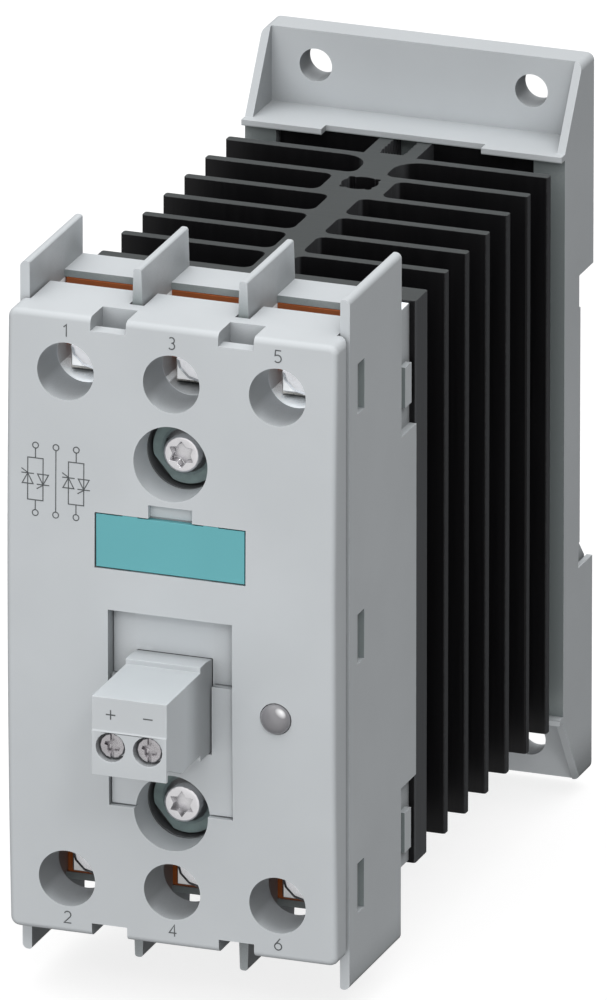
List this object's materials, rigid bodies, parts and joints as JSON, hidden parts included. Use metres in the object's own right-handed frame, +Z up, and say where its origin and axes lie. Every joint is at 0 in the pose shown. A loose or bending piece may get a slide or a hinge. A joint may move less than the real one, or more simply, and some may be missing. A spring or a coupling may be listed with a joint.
{
  "type": "solid state relay",
  "caption": "Solid state relay: grey housing with screw terminals and a plug-in control connector, bolted to a finned black heat sink on a plate that clips to a DIN rail.",
  "frame": {"origin": "centre of the flat seat that rests on the DIN rail, at mid-width and mid-height of the mounting plate", "axes": "+Y points into the wall behind the rail, so the front faces -Y; +Z is up; +X is right as seen from the front"},
  "size_m": [0.045, 0.1154, 0.1],
  "materials": {
    "housing": "fine satin light grey moulded plastic",
    "label": "satin teal moulded plastic",
    "insulator": "satin orange-brown moulded plastic",
    "anodised": "black anodised extrusion, satin",
    "steel": "bright nickel-plated steel",
    "washer_steel": "dull zinc-plated steel",
    "tinned_copper": "tinned copper, satin",
    "circuit_board": "green solder mask, semi-gloss",
    "ceramic": "white alumina, matt",
    "silicon": "dark silicon, semi-gloss",
    "thermal": "soft grey thermal pad, matt",
    "black_plastic": "matt black moulded plastic",
    "capacitor": "glossy dipped coating",
    "lens": "glossy smoke-grey light guide"
  },
  "bodies": {
    "root": {"heat_sink": "anodised", "mounting_plate": "housing", "latch_spring": "steel", "plate_screw_upper": "steel", "plate_screw_lower": "steel", "base_housing": "housing", "front_cover": "housing", "led_lens": "lens", "led": "lens", "mounting_screw_upper": "steel", "mounting_washer_upper": "washer_steel", "mounting_screw_lower": "steel", "mounting_washer_lower": "washer_steel", "thermal_pad": "thermal", "ceramic_substrate": "ceramic", "thyristor_chip_1": "silicon", "thyristor_chip_2": "silicon", "thyristor_chip_3": "silicon", "thyristor_chip_4": "silicon", "control_board": "circuit_board", "optocoupler_left": "black_plastic", "optocoupler_right": "black_plastic", "snubber_left": "capacitor", "snubber_right": "capacitor", "terminal_insert_1": "insulator", "terminal_insert_2": "insulator", "terminal_insert_3": "insulator", "terminal_insert_4": "insulator", "terminal_insert_5": "insulator", "terminal_insert_6": "insulator", "terminal_lead_1": "tinned_copper", "terminal_lead_2": "tinned_copper", "terminal_lead_5": "tinned_copper", "terminal_lead_6": "tinned_copper", "through_bar": "tinned_copper", "header_pin_left": "tinned_copper", "header_pin_right": "tinned_copper", "control_header": "black_plastic"},
    "din_latch": {"din_latch": "housing"},
    "label_plate": {"label_plate": "label"},
    "control_plug": {"plug_housing": "housing", "plug_contact_left": "tinned_copper", "plug_contact_right": "tinned_copper"},
    "terminal_washer_1": {"terminal_washer_1": "washer_steel"},
    "terminal_screw_1": {"terminal_screw_1": "steel"},
    "terminal_washer_2": {"terminal_washer_2": "washer_steel"},
    "terminal_screw_2": {"terminal_screw_2": "steel"},
    "terminal_washer_3": {"terminal_washer_3": "washer_steel"},
    "terminal_screw_3": {"terminal_screw_3": "steel"},
    "terminal_washer_4": {"terminal_washer_4": "washer_steel"},
    "terminal_screw_4": {"terminal_screw_4": "steel"},
    "terminal_washer_5": {"terminal_washer_5": "washer_steel"},
    "terminal_screw_5": {"terminal_screw_5": "steel"},
    "terminal_washer_6": {"terminal_washer_6": "washer_steel"},
    "terminal_screw_6": {"terminal_screw_6": "steel"},
    "plug_screw_left": {"plug_screw_left": "steel"},
    "plug_clamp_left": {"plug_clamp_left": "steel"},
    "plug_screw_right": {"plug_screw_right": "steel"},
    "plug_clamp_right": {"plug_clamp_right": "steel"}
  },
  "joints": [
    {"name": "latch_slide", "type": "slide", "parent": "root", "child": "din_latch", "axis": [0, 0, -1], "range_m": [0, 0.004], "stiffness_N_per_m": 900, "springref_m": -0.004, "deforming": ["latch_spring"]},
    {"name": "label_pull", "type": "slide", "parent": "root", "child": "label_plate", "axis": [0, -1, 0], "range_m": [0, 0.005]},
    {"name": "plug_pull", "type": "slide", "parent": "root", "child": "control_plug", "axis": [0, -1, 0], "range_m": [0, 0.012]},
    {"name": "clamp_lift_1", "type": "slide", "parent": "root", "child": "terminal_washer_1", "axis": [0, -1, 0], "range_m": [0, 0.0035]},
    {"name": "screw_turn_1", "type": "hinge", "parent": "terminal_washer_1", "child": "terminal_screw_1", "pos_m": [-0.01446, -0.0812, 0.03475], "axis": [0, -1, 0], "range_deg": [0, 1801]},
    {"name": "clamp_lift_2", "type": "slide", "parent": "root", "child": "terminal_washer_2", "axis": [0, -1, 0], "range_m": [0, 0.0035]},
    {"name": "screw_turn_2", "type": "hinge", "parent": "terminal_washer_2", "child": "terminal_screw_2", "pos_m": [-0.01446, -0.0812, -0.03475], "axis": [0, -1, 0], "range_deg": [0, 1801]},
    {"name": "clamp_lift_3", "type": "slide", "parent": "root", "child": "terminal_washer_3", "axis": [0, -1, 0], "range_m": [0, 0.0035]},
    {"name": "screw_turn_3", "type": "hinge", "parent": "terminal_washer_3", "child": "terminal_screw_3", "pos_m": [0, -0.0812, 0.03475], "axis": [0, -1, 0], "range_deg": [0, 1801]},
    {"name": "clamp_lift_4", "type": "slide", "parent": "root", "child": "terminal_washer_4", "axis": [0, -1, 0], "range_m": [0, 0.0035]},
    {"name": "screw_turn_4", "type": "hinge", "parent": "terminal_washer_4", "child": "terminal_screw_4", "pos_m": [0, -0.0812, -0.03475], "axis": [0, -1, 0], "range_deg": [0, 1801]},
    {"name": "clamp_lift_5", "type": "slide", "parent": "root", "child": "terminal_washer_5", "axis": [0, -1, 0], "range_m": [0, 0.0035]},
    {"name": "screw_turn_5", "type": "hinge", "parent": "terminal_washer_5", "child": "terminal_screw_5", "pos_m": [0.01446, -0.0812, 0.03475], "axis": [0, -1, 0], "range_deg": [0, 1801]},
    {"name": "clamp_lift_6", "type": "slide", "parent": "root", "child": "terminal_washer_6", "axis": [0, -1, 0], "range_m": [0, 0.0035]},
    {"name": "screw_turn_6", "type": "hinge", "parent": "terminal_washer_6", "child": "terminal_screw_6", "pos_m": [0.01446, -0.0812, -0.03475], "axis": [0, -1, 0], "range_deg": [0, 1801]},
    {"name": "plug_screw_turn_left", "type": "hinge", "parent": "control_plug", "child": "plug_screw_left", "pos_m": [-0.00254, -0.108, -0.00965], "axis": [0, 1, 0], "range_deg": [0, 1441]},
    {"name": "plug_clamp_lift_left", "type": "slide", "parent": "control_plug", "child": "plug_clamp_left", "axis": [0, -1, 0], "range_m": [0, 0.002]},
    {"name": "plug_screw_turn_right", "type": "hinge", "parent": "control_plug", "child": "plug_screw_right", "pos_m": [0.00254, -0.108, -0.00965], "axis": [0, 1, 0], "range_deg": [0, 1441]},
    {"name": "plug_clamp_lift_right", "type": "slide", "parent": "control_plug", "child": "plug_clamp_right", "axis": [0, -1, 0], "range_m": [0, 0.002]}
  ],
  "couplings": [
    {"joint": "screw_turn_1", "follows": "clamp_lift_1", "rad_per_m": 8976},
    {"joint": "screw_turn_2", "follows": "clamp_lift_2", "rad_per_m": 8976},
    {"joint": "screw_turn_3", "follows": "clamp_lift_3", "rad_per_m": 8976},
    {"joint": "screw_turn_4", "follows": "clamp_lift_4", "rad_per_m": 8976},
    {"joint": "screw_turn_5", "follows": "clamp_lift_5", "rad_per_m": 8976},
    {"joint": "screw_turn_6", "follows": "clamp_lift_6", "rad_per_m": 8976},
    {"joint": "plug_screw_turn_left", "follows": "plug_clamp_lift_left", "rad_per_m": 12566},
    {"joint": "plug_screw_turn_right", "follows": "plug_clamp_lift_right", "rad_per_m": 12566}
  ]
}
